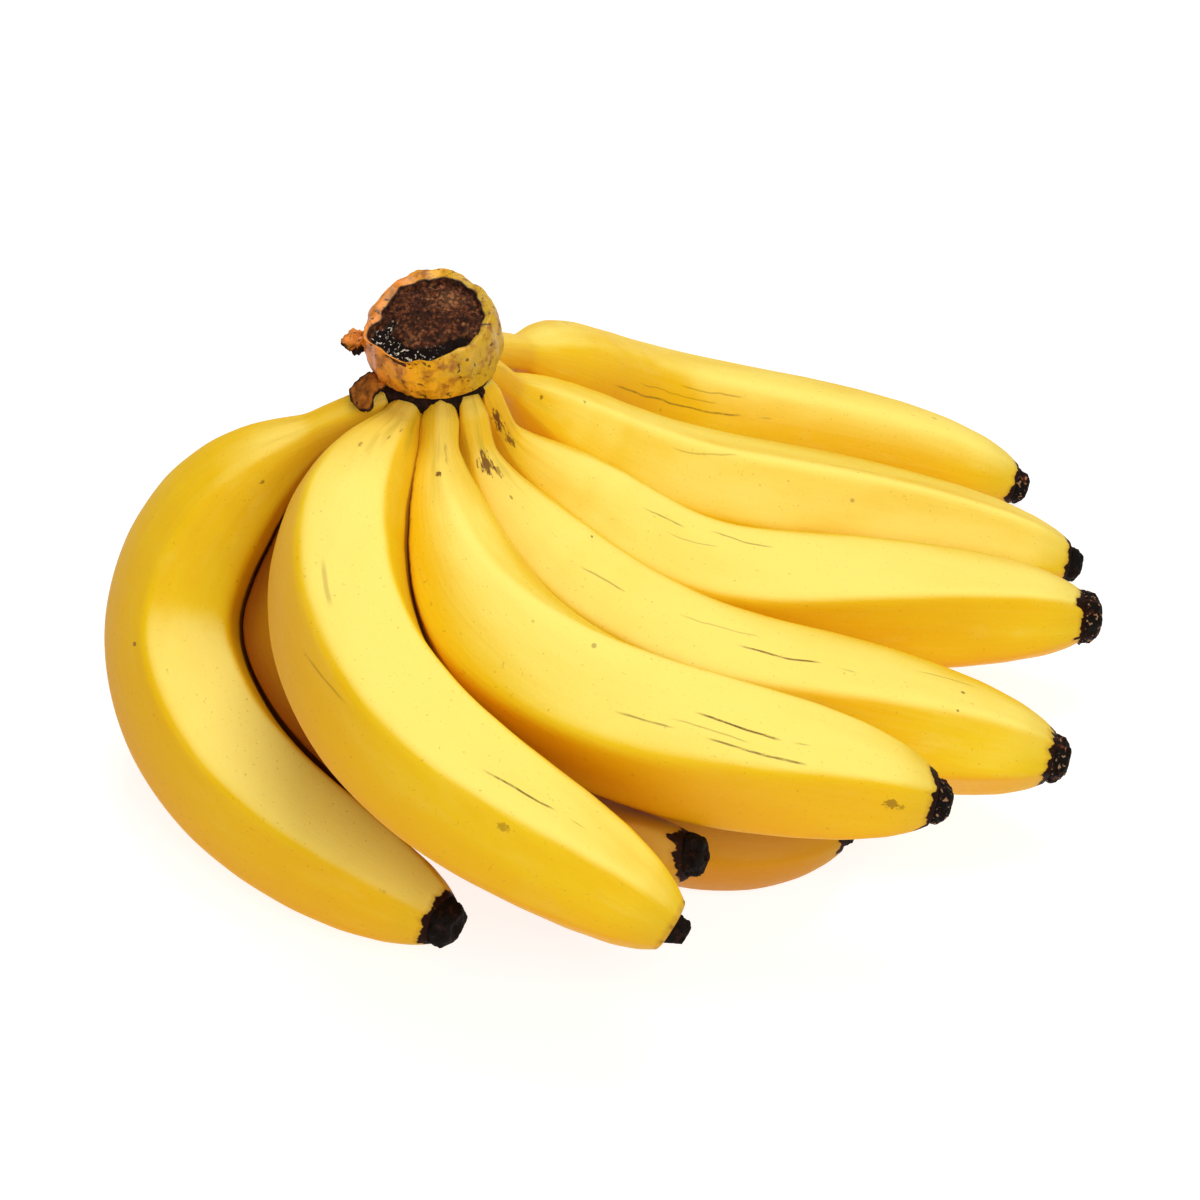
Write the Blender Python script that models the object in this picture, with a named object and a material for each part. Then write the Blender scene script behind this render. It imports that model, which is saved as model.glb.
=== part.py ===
"""A bunch (one hand) of nine bananas lying on a surface: the crown, nine fruits and their nine dried ends.

Metres, +Z up, resting on z = 0. The layout below is in millimetres: x to the right, y away, z up.
"""

import math

import bmesh
import bpy
import numpy as np
from mathutils import Vector

MM = 0.001
GAP = 0.4                 # clearance kept between neighbouring pieces, mm

# Each fruit: greatest radius, stalk length, least share of that radius near the stalk and near the flower
# end, roll of its first ridge near the stalk and at the flower end in degrees, and the knots that its middle
# line passes through, from the crown to the flower end. Fruits 1 to 7 are the outer row, from left to right
# round the crown, and 8 and 9 are the inner row under them.
FRUITS = {
    1: (18.0, 12.0, 0.30, 0.33, 40.0, 40.0,
        [(-55, -33, 92), (-86, -37, 73.5), (-105, -53, 41),
         (-97, -77, 25), (-76, -100, 17), (-35, -130, 14)]),
    2: (17.8, -2.0, 0.30, 0.20, 74.0, 18.0,
        [(-47, -38, 93), (-59, -67, 86), (-57.5, -98, 75),
         (-38, -123, 60), (-7, -140, 46), (18, -151, 35)]),
    3: (18.0, 4.0, 0.28, 0.30, 36.0, -44.0,
        [(-38.5, -39.5, 93), (-38.3, -57.5, 83), (-29, -84, 71),
         (4, -104, 57), (42, -111, 48), (80, -115, 40)]),
    4: (18.5, 7.0, 0.26, 0.32, 66.0, 8.0,
        [(-31.5, -36, 92), (-28, -44, 80), (-12.5, -55, 58),
         (22, -69, 39), (66, -76, 30), (113, -82.5, 21.5)]),
    5: (18.0, 12.0, 0.24, 0.38, 76.0, 18.0,
        [(-28, -28, 92), (-22, -27, 75), (-6, -27, 55.5),
         (20, -33.5, 37.5), (60, -33, 28), (127, -31, 22)]),
    6: (17.3, 15.0, 0.25, 0.28, 10.0, 6.0,
        [(-28, -18, 92), (-20, -6, 74), (-4, 0, 54),
         (20, 3, 38), (58, 4, 27), (127, 1, 12)]),
    7: (17.5, 24.0, 0.30, 0.29, 10.0, 10.0,
        [(-32, -10, 92), (-20, 11.5, 74), (0, 39, 41.8),
         (28, 50.8, 22.9), (88, 43.5, 14.0), (117, 40, 6.4)]),
    8: (16.0, 6.0, 0.27, 0.32, 0.0, 0.0,
        [(-46, -26, 88), (-75.5, -38.5, 48), (-73.5, -58.5, 28.5),
         (-42, -88.8, 21.9), (-2, -118.5, 28.5), (23, -126, 34)]),
    9: (15.0, 8.0, 0.27, 0.28, 0.0, 0.0,
        [(-38, -23, 88), (-43, -36, 42), (-20, -64, 19),
         (11, -94.5, 13.4), (38, -102.5, 13.4), (60, -97, 12)]),
}
PRESSED = [(1, 2), (3, 2), (4, 3), (5, 4), (6, 5), (7, 6), (8, 1), (8, 2), (8, 3), (9, 8), (9, 3), (9, 4)]
PRESS_GAP = 0.7           # the first fruit of each pair above gives way to the second, down to this gap

# Girth along a fruit past its stalk: share of the way to the flower end, share of the greatest radius.
GIRTH = [(0.0, 0.22), (0.045, 0.39), (0.09, 0.57), (0.14, 0.73), (0.20, 0.86), (0.28, 0.94), (0.38, 0.98),
         (0.52, 1.0), (0.64, 0.98), (0.72, 0.94), (0.80, 0.87), (0.87, 0.77), (0.93, 0.63), (0.965, 0.49),
         (0.985, 0.36), (1.0, 0.2)]
FRUIT_SIDES = 20
FRUIT_RINGS = 31
RIDGES = 5
RIDGE_HEIGHT = 0.035      # share of the radius, out at a ridge and in at a flat
ROOT_DEPTH = 5.0          # how far a stalk runs on into the crown before it is trimmed there
ROOT_TAPER = 0.7          # and how far it narrows there
BODY_END = 3.0            # a fruit's body stops this far short of its last knot

# The dried flower end: distance past the end of the body, radius as a share of the body's least one there.
DRIED_END = [(0.0, 0.96), (1.0, 1.04), (2.2, 1.0), (3.6, 0.84), (4.6, 0.5)]
DRIED_SIDES = 10

# The crown from its underside up, over the collar and the rim and down to the sunken cut: height, centre x
# and y, radius.
CROWN = [(89.0, -40.0, -25.0, 5.0), (91.5, -40.0, -25.0, 10.5), (93.8, -40.0, -25.0, 14.4),
         (95.4, -40.0, -25.0, 15.6), (97.2, -40.0, -25.0, 15.5), (98.6, -40.0, -25.0, 13.9),
         (100.2, -40.0, -25.0, 13.9), (102.6, -40.0, -25.0, 15.3), (106.0, -40.0, -25.0, 16.2),
         (110.0, -40.0, -25.0, 16.3), (113.2, -40.1, -25.2, 15.8), (115.2, -40.3, -25.5, 15.0),
         (116.0, -40.5, -25.8, 14.2), (115.2, -40.7, -26.0, 13.4), (113.4, -40.8, -26.0, 12.6),
         (112.8, -40.8, -26.0, 5.0)]
CROWN_SIDES = 32
CROWN_LUMPS = [(2, 0.015, 0.4), (3, 0.012, 1.9), (5, 0.008, 0.8)]   # waves round it, share of radius, phase
CROWN_LEAN = (0.10, 0.10)   # rise of the cut to the right and to the back, mm per mm, from the collar
CROWN_COLLAR = 98.0         # to the rim at this much more height
CROWN_RISE = 18.0

NODULE_CENTRE = (-58.6, -26.0, 107.0)
NODULE_RADII = (3.6, 2.8, 3.4)
# The dried scrap of bract that stands up off the first stalk, from the crease under the crown: distance
# along the stalk, lift off it, and the angles from its upper side that it spans.
BRACT_FRUIT = 1
BRACT = [(-7.5, 0.0, 70.0, 105.0), (-5.5, 1.5, 58.0, 104.0), (-3.5, 2.4, 42.0, 100.0),
         (-1.5, 2.4, 33.0, 96.0), (0.5, 1.8, 38.0, 91.0), (2.2, 1.4, 56.0, 82.0)]
BRACT_CLEARANCE = 0.8
BRACT_THICKNESS = 0.9
BRACT_STEPS = 8           # across it

SURFACE_BLOCK = (300.0, 300.0, 10.0)
FOOTPRINT_CENTRE = Vector((3.2, -44.6, 0.0))    # the layout's own middle, which the origin is moved to

PEEL = ("banana_peel", (0.86, 0.62, 0.03), 0.5)
DRIED = ("dried_flower_end", (0.03, 0.018, 0.012), 0.9)
CROWN_SKIN = ("crown_skin", (0.36, 0.19, 0.035), 0.75)


def clear_scene():
    for item in list(bpy.data.objects):
        bpy.data.objects.remove(item, do_unlink=True)


def new_collection(name):
    group = bpy.data.collections.new(name)
    bpy.context.scene.collection.children.link(group)
    return group


def material(name, colour, roughness):
    made = bpy.data.materials.new(name)
    made.use_nodes = True
    shader = made.node_tree.nodes["Principled BSDF"]
    shader.inputs["Base Color"].default_value = (*colour, 1.0)
    shader.inputs["Roughness"].default_value = roughness
    shader.inputs["Metallic"].default_value = 0.0
    made.diffuse_color = (*colour, 1.0)
    return made


def add_object(shape, name, group, look):
    """Turn a bmesh laid out in millimetres into a smooth-shaded object in metres, centred on the origin."""
    bmesh.ops.translate(shape, verts=shape.verts, vec=-FOOTPRINT_CENTRE)
    bmesh.ops.scale(shape, verts=shape.verts, vec=(MM, MM, MM))
    bmesh.ops.recalc_face_normals(shape, faces=shape.faces)
    for face in shape.faces:
        face.smooth = len(face.verts) == 4
    mesh = bpy.data.meshes.new(name)
    shape.to_mesh(mesh)
    shape.free()
    mesh.materials.append(look)
    made = bpy.data.objects.new(name, mesh)
    group.objects.link(made)
    return made


def smooth_path(knots):
    """Many points, with their distances along it, on the natural cubic spline through the knots."""
    knots = np.array(knots, dtype=float)
    spans = np.linalg.norm(np.diff(knots, axis=0), axis=1) ** 0.75
    last = len(knots) - 1
    system = np.eye(last + 1)
    bends = np.zeros_like(knots)
    for i in range(1, last):
        before, after = spans[i - 1], spans[i]
        system[i, i - 1:i + 2] = before, 2.0 * (before + after), after
        bends[i] = 6.0 * ((knots[i + 1] - knots[i]) / after - (knots[i] - knots[i - 1]) / before)
    bends = np.linalg.solve(system, bends)
    points = []
    for i in range(last):
        for there in np.linspace(0.0, 1.0, 60, endpoint=i == last - 1):
            here = 1.0 - there
            bend = (here ** 3 - here) * bends[i] + (there ** 3 - there) * bends[i + 1]
            points.append(here * knots[i] + there * knots[i + 1] + spans[i] ** 2 / 6.0 * bend)
    points = np.array(points)
    along = np.concatenate(([0.0], np.cumsum(np.linalg.norm(np.diff(points, axis=0), axis=1))))
    return points, along


class Spine:
    """A fruit's middle line, running on straight past both of its ends."""

    def __init__(self, knots):
        self.points, self.along = smooth_path(knots)
        self.length = self.along[-1]

    def place(self, distance):
        inside = min(max(distance, 0.0), self.length)
        point = Vector([np.interp(inside, self.along, self.points[:, axis]) for axis in range(3)])
        return point + self.direction(inside) * (distance - inside)

    def direction(self, distance):
        nearby = min(max(distance, 0.5), self.length - 0.5)
        ends = [Vector([np.interp(nearby + step, self.along, self.points[:, axis]) for axis in range(3)])
                for step in (-0.5, 0.5)]
        return (ends[1] - ends[0]).normalized()

    def frames(self, distances):
        """Place, upward and sideways directions at each distance, carried back from the flower end."""
        frames = []
        upward = Vector((0.0, 0.0, 1.0))
        for distance in reversed(distances):
            forward = self.direction(distance)
            upward = (upward - forward * upward.dot(forward)).normalized()
            frames.append((self.place(distance), upward, forward.cross(upward)))
        return frames[::-1]


def ring(frame, radius, sides, ridge=0.0, roll=0.0):
    """Points round a spine: a circle, or a rounded five-sided section where it has ridges."""
    centre, upward, sideways = frame
    points = []
    for i in range(sides):
        angle = math.tau * i / sides
        reach = radius * (1.0 + ridge * math.cos(RIDGES * angle))
        turned = angle + math.radians(roll)
        points.append(centre + (upward * math.cos(turned) + sideways * math.sin(turned)) * reach)
    return points


def loft(rings):
    """A closed body through the rings, with a flat cap on each end."""
    shape = bmesh.new()
    loops = [[shape.verts.new(point) for point in points] for points in rings]
    for lower, upper in zip(loops, loops[1:]):
        for i in range(len(lower)):
            j = (i + 1) % len(lower)
            shape.faces.new((lower[i], lower[j], upper[j], upper[i]))
    shape.faces.new(list(reversed(loops[0])))
    shape.faces.new(loops[-1])
    return shape


def fruit_radius(spine, radius, stalk, neck, tip, distance):
    shares, girths = zip(*GIRTH)
    share = (distance - stalk) / (spine.length - stalk)
    return radius * max(np.interp(share, shares, girths), neck if share < 0.5 else tip)


def fruit_shape(number):
    radius, stalk, neck, tip, roll, end_roll, knots = FRUITS[number]
    spine = Spine(knots)
    end = spine.length - BODY_END
    distances = [-ROOT_DEPTH]
    for i in range(FRUIT_RINGS):
        even = i / (FRUIT_RINGS - 1)
        eased = (1.0 - math.cos(math.pi * even)) / 2.0
        distances.append(end * (0.6 * even + 0.4 * eased))
    rings = []
    for distance, frame in zip(distances, spine.frames(distances)):
        reach = fruit_radius(spine, radius, stalk, neck, tip, distance)
        if distance < 0.0:
            reach *= ROOT_TAPER
        turned = np.interp(distance, (0.0, spine.length), (roll, end_roll))
        rings.append(ring(frame, reach, FRUIT_SIDES, RIDGE_HEIGHT * reach / radius, turned))
    for other in [second for first, second in PRESSED if first == number]:
        press(rings, other)
    return loft(rings)


def press(rings, other):
    """Move every point that is too near the other fruit straight out of it, which dents these rings."""
    radius, stalk, neck, tip, _, _, knots = FRUITS[other]
    spine = Spine(knots)
    distances = np.arange(-ROOT_DEPTH, spine.length, 1.0)
    middle = np.array([spine.place(distance) for distance in distances])
    reaches = [fruit_radius(spine, radius, stalk, neck, tip, distance) for distance in distances]
    limits = np.array(reaches) * (1.0 + RIDGE_HEIGHT) + PRESS_GAP
    for points in rings:
        for point in points:
            nearest = int(np.argmin(np.linalg.norm(middle - np.array(point), axis=1)))
            outward = point - Vector(middle[nearest])
            if outward.length < limits[nearest]:
                point += outward.normalized() * (limits[nearest] - outward.length)


def below_surface():
    """A block under the surface, which cuts a small flat spot where a fruit rests on it."""
    shape = bmesh.new()
    bmesh.ops.create_cube(shape, size=1.0)
    bmesh.ops.scale(shape, verts=shape.verts, vec=SURFACE_BLOCK)
    bmesh.ops.translate(shape, verts=shape.verts, vec=FOOTPRINT_CENTRE)
    bmesh.ops.translate(shape, verts=shape.verts, vec=(0.0, 0.0, -SURFACE_BLOCK[2] / 2.0))
    return shape


def dried_end_shape(number):
    radius, _, _, tip, _, end_roll, knots = FRUITS[number]
    spine = Spine(knots)
    start = spine.length - BODY_END + GAP
    distances = [start + past for past, share in DRIED_END]
    rings = [ring(frame, radius * tip * share, DRIED_SIDES, RIDGE_HEIGHT, end_roll)
             for frame, (past, share) in zip(spine.frames(distances), DRIED_END)]
    return loft(rings)


def crown_body():
    rings = []
    for height, x, y, radius in CROWN:
        points = []
        for i in range(CROWN_SIDES):
            angle = math.tau * i / CROWN_SIDES
            lumps = sum(size * math.cos(waves * angle + phase) for waves, size, phase in CROWN_LUMPS)
            reach = radius * (1.0 + lumps)
            slope = CROWN_LEAN[0] * math.cos(angle) + CROWN_LEAN[1] * math.sin(angle)
            lean = slope * reach * max(0.0, height - CROWN_COLLAR) / CROWN_RISE
            points.append(Vector((x + reach * math.cos(angle), y + reach * math.sin(angle), height + lean)))
        rings.append(points)
    return loft(rings)


def nodule():
    shape = bmesh.new()
    bmesh.ops.create_uvsphere(shape, u_segments=10, v_segments=8, radius=1.0)
    bmesh.ops.scale(shape, verts=shape.verts, vec=NODULE_RADII)
    bmesh.ops.translate(shape, verts=shape.verts, vec=NODULE_CENTRE)
    return shape


def bract():
    radius, _, neck, _, _, _, knots = FRUITS[BRACT_FRUIT]
    spine = Spine(knots)
    inner = radius * neck + BRACT_CLEARANCE
    frames = spine.frames([row[0] for row in BRACT])
    rings = []
    for (centre, upward, sideways), (_, lift, low, high) in zip(frames, BRACT):
        points = []
        for reach, way in ((inner + lift + BRACT_THICKNESS, 1.0), (inner + lift, -1.0)):
            for i in range(BRACT_STEPS + 1):
                swing = way * (i / BRACT_STEPS - 0.5)
                angle = math.radians((low + high) / 2.0 + (high - low) * swing)
                points.append(centre + (upward * math.cos(angle) + sideways * math.sin(angle)) * reach)
        rings.append(points)
    return loft(rings)


def boolean(target, cutter, operation):
    step = target.modifiers.new(cutter.name, "BOOLEAN")
    step.operation = operation
    step.solver = "EXACT"
    step.object = cutter


def build_crown(group, helpers, look):
    crown = add_object(crown_body(), "crown", group, look)
    for name, shape in (("crown_nodule", nodule()), ("crown_bract", bract())):
        boolean(crown, add_object(shape, name, helpers, look), "UNION")
    return crown


def crown_clearance(crown, helpers, look):
    """The finished crown grown by the gap, which trims the stalks."""
    bpy.context.view_layer.update()
    evaluated = crown.evaluated_get(bpy.context.evaluated_depsgraph_get())
    shape = bmesh.new()
    shape.from_mesh(evaluated.to_mesh())
    evaluated.to_mesh_clear()
    shape.normal_update()
    for vertex in shape.verts:
        vertex.co += vertex.normal * GAP * MM
    mesh = bpy.data.meshes.new("crown_clearance")
    shape.to_mesh(mesh)
    shape.free()
    mesh.materials.append(look)
    cutter = bpy.data.objects.new("crown_clearance", mesh)
    helpers.objects.link(cutter)
    return cutter


def main():
    clear_scene()
    group = new_collection("bunch_of_bananas")
    helpers = new_collection("cutters")
    peel, dried, skin = material(*PEEL), material(*DRIED), material(*CROWN_SKIN)
    crown = build_crown(group, helpers, skin)
    cutter = crown_clearance(crown, helpers, skin)
    surface = add_object(below_surface(), "below_surface", helpers, skin)
    for number in FRUITS:
        fruit = add_object(fruit_shape(number), f"banana_{number}", group, peel)
        boolean(fruit, cutter, "DIFFERENCE")
        boolean(fruit, surface, "DIFFERENCE")
        add_object(dried_end_shape(number), f"dried_end_{number}", group, dried)
    for helper in helpers.objects:
        helper.hide_render = True
        helper.hide_viewport = False
        helper.display_type = "WIRE"


main()
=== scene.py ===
"""Looks of the bunch of bananas: peel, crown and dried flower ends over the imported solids, in a studio.

The layout is in millimetres, the same as in the part's source, and to_metres() takes it to the row frame.
"""

import math

import bpy
import numpy as np
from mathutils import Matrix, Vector, noise


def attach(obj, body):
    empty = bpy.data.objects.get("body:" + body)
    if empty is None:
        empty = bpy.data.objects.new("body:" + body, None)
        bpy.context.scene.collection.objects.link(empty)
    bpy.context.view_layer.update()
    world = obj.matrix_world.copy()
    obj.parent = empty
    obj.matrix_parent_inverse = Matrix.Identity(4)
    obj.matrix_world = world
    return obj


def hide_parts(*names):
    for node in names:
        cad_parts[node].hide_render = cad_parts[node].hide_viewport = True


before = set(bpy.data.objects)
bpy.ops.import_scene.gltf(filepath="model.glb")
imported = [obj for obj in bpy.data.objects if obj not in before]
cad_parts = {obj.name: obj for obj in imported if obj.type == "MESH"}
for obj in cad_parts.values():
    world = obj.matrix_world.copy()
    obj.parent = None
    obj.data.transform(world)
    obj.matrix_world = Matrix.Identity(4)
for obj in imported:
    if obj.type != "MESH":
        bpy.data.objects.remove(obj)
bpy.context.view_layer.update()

MM = 0.001
FOOTPRINT_CENTRE = np.array([3.2, -44.6, 0.0])    # the layout's own middle, which the origin is moved to

# Each fruit: greatest radius, stalk length, least share of that radius near the stalk and near the flower
# end, roll of its first ridge near the stalk and at the flower end in degrees, and the knots that its middle
# line passes through, from the crown to the flower end. Fruits 1 to 7 are the outer row, from left to right
# round the crown, and 8 and 9 are the inner row under them.
FRUITS = {
    1: (18.0, 12.0, 0.30, 0.33, 40.0, 40.0,
        [(-55, -33, 92), (-86, -37, 73.5), (-105, -53, 41),
         (-97, -77, 25), (-76, -100, 17), (-35, -130, 14)]),
    2: (17.8, -2.0, 0.30, 0.20, 74.0, 18.0,
        [(-47, -38, 93), (-59, -67, 86), (-57.5, -98, 75),
         (-38, -123, 60), (-7, -140, 46), (18, -151, 35)]),
    3: (18.0, 4.0, 0.28, 0.30, 36.0, -44.0,
        [(-38.5, -39.5, 93), (-38.3, -57.5, 83), (-29, -84, 71),
         (4, -104, 57), (42, -111, 48), (80, -115, 40)]),
    4: (18.5, 7.0, 0.26, 0.32, 66.0, 8.0,
        [(-31.5, -36, 92), (-28, -44, 80), (-12.5, -55, 58),
         (22, -69, 39), (66, -76, 30), (113, -82.5, 21.5)]),
    5: (18.0, 12.0, 0.24, 0.38, 76.0, 18.0,
        [(-28, -28, 92), (-22, -27, 75), (-6, -27, 55.5),
         (20, -33.5, 37.5), (60, -33, 28), (127, -31, 22)]),
    6: (17.3, 15.0, 0.25, 0.28, 10.0, 6.0,
        [(-28, -18, 92), (-20, -6, 74), (-4, 0, 54),
         (20, 3, 38), (58, 4, 27), (127, 1, 12)]),
    7: (17.5, 24.0, 0.30, 0.29, 10.0, 10.0,
        [(-32, -10, 92), (-20, 11.5, 74), (0, 39, 41.8),
         (28, 50.8, 22.9), (88, 43.5, 14.0), (117, 40, 6.4)]),
    8: (16.0, 6.0, 0.27, 0.32, 0.0, 0.0,
        [(-46, -26, 88), (-75.5, -38.5, 48), (-73.5, -58.5, 28.5),
         (-42, -88.8, 21.9), (-2, -118.5, 28.5), (23, -126, 34)]),
    9: (15.0, 8.0, 0.27, 0.28, 0.0, 0.0,
        [(-38, -23, 88), (-43, -36, 42), (-20, -64, 19),
         (11, -94.5, 13.4), (38, -102.5, 13.4), (60, -97, 12)]),
}
PRESSED = [(1, 2), (3, 2), (4, 3), (5, 4), (6, 5), (7, 6), (8, 1), (8, 2), (8, 3), (9, 8), (9, 3), (9, 4)]
PEEL_GAP = -0.2           # the first of each pair above keeps this far off the plain girth of the second

# Girth along a fruit past its stalk: share of the way to the flower end, share of the greatest radius.
GIRTH = [(0.0, 0.22), (0.045, 0.39), (0.09, 0.57), (0.14, 0.73), (0.20, 0.86), (0.28, 0.94), (0.38, 0.98),
         (0.52, 1.0), (0.64, 0.98), (0.72, 0.94), (0.80, 0.87), (0.87, 0.77), (0.93, 0.63), (0.965, 0.49),
         (0.985, 0.36), (1.0, 0.2)]
GIRTH_BLEND = 3.0         # the girth's corners are rounded over this length
BODY_END = 3.0            # the peel stops this far short of the last knot
ROOT_DEPTH = 5.0          # a stalk runs on into the crown this far
ROOT_TAPER = 0.7          # and narrows there to this share
RIDGES = 5
FACE_BEND = 0.78          # how flat a face between two ridges is: 0 is round, 1 is flat
RIDGE_BLEND = 4.0         # degrees over which a ridge is rounded
FAR = 20.0                # more room than this between fruits counts as this
SHOULDER_TURNS = (20, 40, 60, 80, 90)     # degrees of the rounded end of the peel
SHOULDER_REACH = 2.2      # how far it stands out where the dried end is narrowest, mm
PEEL_INSET = 0.68         # keeps the uneven peel inside the solids' box
PEEL_SIDES = 96           # points round the peel
PEEL_STEP = 1.25          # between rings of the peel

# The brown hairlines: fruit, start and end as shares of its length, degrees from its upper side towards the
# camera's side at both, half width in mm and darkness.
STREAKS = [
    (3, 0.63, 0.76, 19.0, 22.0, 0.32, 0.95), (3, 0.765, 0.80, 22.0, 19.0, 0.22, 0.7),
    (3, 0.53, 0.62, 43.0, 38.0, 0.26, 0.6), (3, 0.65, 0.80, 40.0, 38.0, 0.28, 0.75),
    (3, 0.60, 0.72, 31.0, 32.0, 0.2, 0.4), (2, 0.66, 0.78, 14.0, 4.0, 0.32, 0.85),
    (2, 0.79, 0.825, 4.0, 0.0, 0.25, 0.6), (2, 0.30, 0.38, 37.0, 35.0, 0.5, 0.3),
    (2, 0.40, 0.49, 70.0, 55.0, 0.3, 0.35), (4, 0.52, 0.65, 13.0, 9.0, 0.28, 0.85),
    (4, 0.665, 0.70, 10.0, 9.0, 0.22, 0.6), (4, 0.77, 0.87, -12.0, -21.0, 0.22, 0.4),
    (4, 0.25, 0.345, 22.0, 14.0, 0.24, 0.5), (4, 0.42, 0.56, 5.0, -4.0, 0.2, 0.3),
    (5, 0.29, 0.375, 14.0, 4.0, 0.24, 0.55), (5, 0.41, 0.53, -3.0, -5.0, 0.24, 0.5),
    (5, 0.34, 0.44, 20.0, 10.0, 0.18, 0.3), (7, 0.29, 0.60, 50.0, 44.0, 0.26, 0.6),
    (7, 0.62, 0.65, 44.0, 42.0, 0.24, 0.7), (7, 0.45, 0.60, 28.0, 28.0, 0.2, 0.4),
    (7, 0.35, 0.55, 39.0, 36.0, 0.18, 0.35), (6, 0.35, 0.48, 20.0, 12.0, 0.2, 0.3),
    (6, 0.6, 0.7, 0.0, -5.0, 0.2, 0.3), (1, 0.3, 0.42, -60.0, -70.0, 0.2, 0.3),
    (8, 0.5, 0.62, 120.0, 118.0, 0.25, 0.5), (9, 0.55, 0.7, 60.0, 64.0, 0.25, 0.5),
    (7, 0.4, 0.6, -70.0, -66.0, 0.25, 0.5), (6, 0.5, 0.66, -100.0, -96.0, 0.25, 0.5),
    (1, 0.5, 0.66, 120.0, 126.0, 0.25, 0.5),
]
# Brown bruises: fruit, share of its length, degrees, half length and half width in mm, darkness.
BRUISES = [
    (2, 0.05, -2.0, 2.0, 0.5, 0.5), (2, 0.075, 8.0, 1.6, 0.4, 0.5),
    (2, 0.11, 34.0, 1.2, 0.6, 0.5), (3, 0.10, 26.0, 1.0, 0.8, 0.9),
    (3, 0.06, 10.0, 3.0, 0.6, 0.35), (4, 0.063, 38.0, 3.2, 1.8, 0.9),
    (4, 0.08, 20.0, 1.6, 0.8, 0.6), (5, 0.03, 62.0, 4.2, 1.3, 0.95),
    (5, 0.068, 54.0, 2.2, 1.0, 0.8), (3, 0.922, 62.0, 2.6, 1.8, 0.6),
    (2, 0.73, 42.0, 1.6, 1.2, 0.45), (6, 0.12, 30.0, 0.7, 0.7, 0.7),
    (6, 0.19, 10.0, 0.6, 0.6, 0.5), (7, 0.86, -8.0, 1.0, 0.6, 0.5),
    (7, 0.25, -40.0, 1.2, 1.0, 0.3), (8, 0.6, 30.0, 2.0, 1.2, 0.4),
    (9, 0.8, 80.0, 2.0, 1.0, 0.6), (1, 0.16, 10.0, 0.8, 0.6, 0.6),
    (1, 0.62, 140.0, 2.4, 1.4, 0.4), (4, 0.5, 170.0, 3.0, 1.5, 0.4),
]


def to_metres(points):
    return (np.asarray(points, dtype=float) - FOOTPRINT_CENTRE) * MM


def smooth_path(knots):
    """Many points, with their distances along it, on the natural cubic spline through the knots."""
    knots = np.array(knots, dtype=float)
    spans = np.linalg.norm(np.diff(knots, axis=0), axis=1) ** 0.75
    last = len(knots) - 1
    system = np.eye(last + 1)
    bends = np.zeros_like(knots)
    for i in range(1, last):
        before, after = spans[i - 1], spans[i]
        system[i, i - 1:i + 2] = before, 2.0 * (before + after), after
        bends[i] = 6.0 * ((knots[i + 1] - knots[i]) / after - (knots[i] - knots[i - 1]) / before)
    bends = np.linalg.solve(system, bends)
    points = []
    for i in range(last):
        for there in np.linspace(0.0, 1.0, 60, endpoint=i == last - 1):
            here = 1.0 - there
            bend = (here ** 3 - here) * bends[i] + (there ** 3 - there) * bends[i + 1]
            points.append(here * knots[i] + there * knots[i + 1] + spans[i] ** 2 / 6.0 * bend)
    points = np.array(points)
    along = np.concatenate(([0.0], np.cumsum(np.linalg.norm(np.diff(points, axis=0), axis=1))))
    return points, along


def unit(vectors):
    return vectors / np.linalg.norm(vectors, axis=-1, keepdims=True)


class Spine:
    """A fruit's middle line with a frame at every point, running on straight past both of its ends."""

    def __init__(self, knots):
        self.points, self.along = smooth_path(knots)
        self.length = self.along[-1]
        self.forward = unit(np.gradient(self.points, self.along, axis=0))
        self.upward = np.zeros_like(self.forward)
        carried = np.array([0.0, 0.0, 1.0])
        for i in reversed(range(len(self.points))):
            carried = carried - self.forward[i] * carried.dot(self.forward[i])
            carried /= np.linalg.norm(carried)
            self.upward[i] = carried

    def at(self, distances):
        """Places, upward and sideways directions at these distances."""
        inside = np.clip(distances, 0.0, self.length)
        place, forward, upward = [
            np.stack([np.interp(inside, self.along, values[:, axis]) for axis in range(3)], axis=1)
            for values in (self.points, self.forward, self.upward)]
        forward = unit(forward)
        upward = unit(upward - forward * (upward * forward).sum(axis=1, keepdims=True))
        place = place + forward * (distances - inside)[:, None]
        return place, upward, np.cross(forward, upward)


def girth_along(distances, stalk, neck, tip, length):
    """Share of the greatest radius at each distance, with the profile's corners rounded."""
    shares, girths = zip(*GIRTH)
    offsets = np.linspace(-GIRTH_BLEND, GIRTH_BLEND, 9)
    weights = 1.0 + np.cos(math.pi * offsets / GIRTH_BLEND / 1.1)
    room = np.clip((length - BODY_END - distances) / GIRTH_BLEND, 0.0, 1.0)[:, None]
    spots = distances[:, None] + offsets * room
    along = (spots - stalk) / (length - stalk)
    found = np.maximum(np.interp(along, shares, girths), np.where(along < 0.5, neck, tip))
    return (found * weights).sum(axis=1) / weights.sum()


def ridge_relief(angles):
    """Height of a five-sided section with rounded ridges and slightly bowed faces, about nought."""
    fine = np.radians(np.arange(0.0, 360.0, 0.5))
    face = (fine + math.pi / RIDGES) % (math.tau / RIDGES) - math.pi / RIDGES
    face = np.abs(np.abs(face) - math.pi / RIDGES)
    height = 1.0 / np.cos(face * FACE_BEND)
    window = np.arange(-30, 31) * 0.5
    weights = np.exp(-0.5 * (window / RIDGE_BLEND) ** 2)
    weights /= weights.sum()
    padded = np.concatenate((height[-30:], height, height[:30]))
    height = np.convolve(padded, weights, mode="valid")
    height -= height.mean()
    return np.interp(angles % math.tau, np.append(fine, math.tau), np.append(height, height[0]))


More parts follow.
